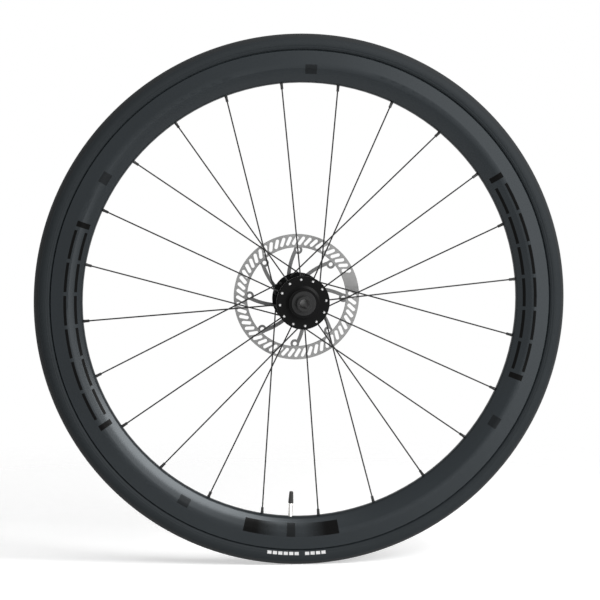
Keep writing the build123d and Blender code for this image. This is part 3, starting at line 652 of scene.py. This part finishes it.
def tyre_rubber():
    finish = new_finish("tyre_rubber")
    angle, radius, y = wheel_place(finish)
    run, section, _ = finish.parts_of(finish.node("ShaderNodeUVMap", {"uv_map": "run"}))
    off = abs(section)
    tread_end = TYRE_SECTION_R * TREAD_EDGE_ANGLE
    tread = ((tread_end - off) / TREAD_SOFT).held()
    file_turn = FILE_MARKS / TYRE_R
    file_marks = (run * file_turn + off * (file_turn * FILE_LEAN)).sine()
    files = (0.5 + 0.5 * file_marks) * off.within(FILE_LOW, FILE_HIGH, FILE_SOFT)
    thread = 2.0 * math.pi / CASING_PITCH
    casing = 0.5 + 0.25 * ((run + off) * thread).sine() + 0.25 * ((run - off) * thread).sine()
    place = finish.place()
    clouds = finish.noise(place, scale=22.0, detail=4.0)
    grain = finish.noise(place, scale=1800.0, detail=3.0)
    height = 0.6 * files + 0.35 * casing * (1.0 - tread) + 0.25 * grain
    tone = 0.45 * clouds + 0.30 * grain + 0.25 * casing
    side = finish.mix(tone, (0.0066, 0.0090, 0.0107, 1.0), (0.0137, 0.0178, 0.0205, 1.0))
    worn = 0.6 * tone + 0.4 * files
    crown = finish.mix(worn, (0.0098, 0.0112, 0.0123, 1.0), (0.0192, 0.0216, 0.0234, 1.0))
    dashes = 0.0
    for start, end in DASH_RUNS:
        step = ((angle - start) / DASH_PITCH).fraction()
        dash = step.within(0.0, DASH_SHARE, DASH_END_SOFT)
        dashes = dash * angle.within(start, end, DASH_END_SOFT) + dashes
    sides = ((abs(y) - DASH_SIDE_Y) / DASH_SIDE_SOFT).held()
    white = dashes * radius.within(DASH_LOW_R, DASH_HIGH_R, DASH_EDGE) * sides
    return finish.finished(finish.surface(
        base_color=finish.mix(white, finish.mix(tread, side, crown), grey(0.60)),
        roughness=0.62 + 0.16 * grain - 0.10 * white,
        specular_ior_level=0.22,
        normal=finish.bump(height, strength=0.35, distance=0.00025),
    ))


tyre = tyre_surface(tyre_rubber())
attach(tyre, "wheel")
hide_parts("tyre")


# Brake rotor and its bolts. Stainless sheet, cut in one piece: a slotted track, ground bright in rings, on
# thin swept arms left in a darker blasted grey. Six black steel bolts hold it to the hub's boss.

TRACK_INNER_R = 0.0630
TRACK_SOFT = 0.0006


def rotor_steel():
    finish = new_finish("rotor_steel")
    _, radius, _ = wheel_place(finish)
    place = finish.place()
    track = ((radius - TRACK_INNER_R) / TRACK_SOFT).held()
    rings = finish.noise(finish.vector(radius, 0.0, 0.0), scale=2600.0, detail=3.0)
    smears = finish.noise(place, scale=45.0, detail=4.0)
    blast = finish.noise(place, scale=3000.0, detail=2.0)
    bright = finish.mix(0.6 * rings + 0.4 * smears, grey(0.14), grey(0.26, (1.0, 1.0, 0.99)))
    dark = finish.mix(blast, grey(0.10), grey(0.16))
    return finish.finished(finish.surface(
        base_color=finish.mix(track, dark, bright),
        metallic=1.0,
        roughness=0.46 - 0.18 * track + 0.14 * rings + 0.08 * smears,
        normal=finish.bump(rings * track + blast * (1.0 - track), strength=0.15, distance=0.00004),
    ))


dress(rotor_steel(), "brake_rotor")
dress(ground_steel("black_bolts", level=0.05, roughness=0.34), "rotor_bolts")


# Studio. A white floor under the tyre that fades into a white room, a broad soft light high on the right,
# a weak one from the front, and the camera at the height and turn that the photo was taken from.

CAMERA_AZIMUTH = math.radians(-6.6)
CAMERA_ELEVATION = math.radians(6.1)
CAMERA_DISTANCE = 7.0
CAMERA_LENS = 333.0
FLOOR_R = 2.0
FLOOR_FIRST_R = 0.2
FLOOR_RINGS = 24
FLOOR_SIDES = 96
FLOOR_FADE = (0.35, 1.2)
ROOM_LIGHT = 0.24
FLOOR_LIFT = 0.40            # added to the floor as it is seen, so that it is as white as the room


def toward(azimuth, elevation):
    """The direction from the wheel to a viewer at an azimuth and elevation."""
    flat = math.cos(elevation)
    return Vector((math.sin(azimuth) * flat, -math.cos(azimuth) * flat, math.sin(elevation)))


def soft_light(name, place, roll, size, watts):
    """A rectangular light at a place, rolled about the line on which it faces the wheel's centre."""
    lamp = bpy.data.lights.new(name, "AREA")
    lamp.shape = "RECTANGLE"
    lamp.size, lamp.size_y = size
    lamp.energy = watts
    light = bpy.data.objects.new(name, lamp)
    light.location = place
    facing = Vector(place).to_track_quat("Z", "Y")
    light.rotation_euler = (facing @ Quaternion((0.0, 0.0, 1.0), roll)).to_euler()
    bpy.context.scene.collection.objects.link(light)


def seen_rays(finish):
    """1 for rays from the camera, in a reflection or through glass, 0 for light that falls on surfaces."""
    kinds = ("Is Camera Ray", "Is Glossy Ray", "Is Transmission Ray")
    camera, glossy, through = [finish.node("ShaderNodeLightPath", out=kind) for kind in kinds]
    return (camera + glossy + through).held()


def white_room():
    finish = Finish(bpy.data.worlds.new("white_room"))
    level = ROOM_LIGHT + (1.0 - ROOM_LIGHT) * seen_rays(finish)
    light = finish.node("ShaderNodeBackground", sockets={"Color": grey(1.0), "Strength": level})
    return finish.finished(light, "ShaderNodeOutputWorld")


def white_floor():
    finish = new_finish("white_floor")
    x, y, _ = finish.parts_of(finish.place())
    far = (x * x + y * y) ** 0.5
    near, end = FLOOR_FADE
    fade = ((far - near) / (end - near)).held()
    paint = finish.surface(
        base_color=grey(0.92),
        roughness=0.7,
        specular_ior_level=0.2,
        emission_color=finish.mix(seen_rays(finish), grey(0.0), grey(FLOOR_LIFT)),
        emission_strength=1.0,
    )
    room = finish.node("ShaderNodeBsdfTransparent")
    return finish.finished(finish.node("ShaderNodeMixShader", sockets={0: fade, 1: paint, 2: room}))


def round_floor(material):
    """A disc of rings about the middle: radius r at turn t goes to (r cos t, r sin t) under the tyre."""
    rings = np.concatenate(([0.0], np.geomspace(FLOOR_FIRST_R, FLOOR_R, FLOOR_RINGS)))
    turns = np.linspace(0.0, -2.0 * np.pi, FLOOR_SIDES, endpoint=False)
    r, turn = np.meshgrid(rings, turns, indexing="ij")
    points = np.stack((r * np.cos(turn), r * np.sin(turn), np.full_like(r, -TYRE_R)), -1)
    return new_piece("floor", points, material, closed_rows=False, crease=30.0)


floor = round_floor(white_floor())

soft_light("key", place=(1.71, -2.01, 1.43), roll=math.radians(-56.0), size=(2.2, 1.9), watts=122.0)
soft_light("front", place=(1.05, -2.80, 0.0), roll=0.0, size=(1.1, 1.6), watts=11.0)

scene = bpy.context.scene
scene.world = white_room()
scene.view_settings.view_transform = "Standard"

lens = bpy.data.cameras.new("camera")
lens.lens = CAMERA_LENS
camera = bpy.data.objects.new("camera", lens)
view_back = toward(CAMERA_AZIMUTH, CAMERA_ELEVATION)
camera.location = view_back * CAMERA_DISTANCE
camera.rotation_euler = view_back.to_track_quat("Z", "Y").to_euler()
scene.collection.objects.link(camera)
scene.camera = camera
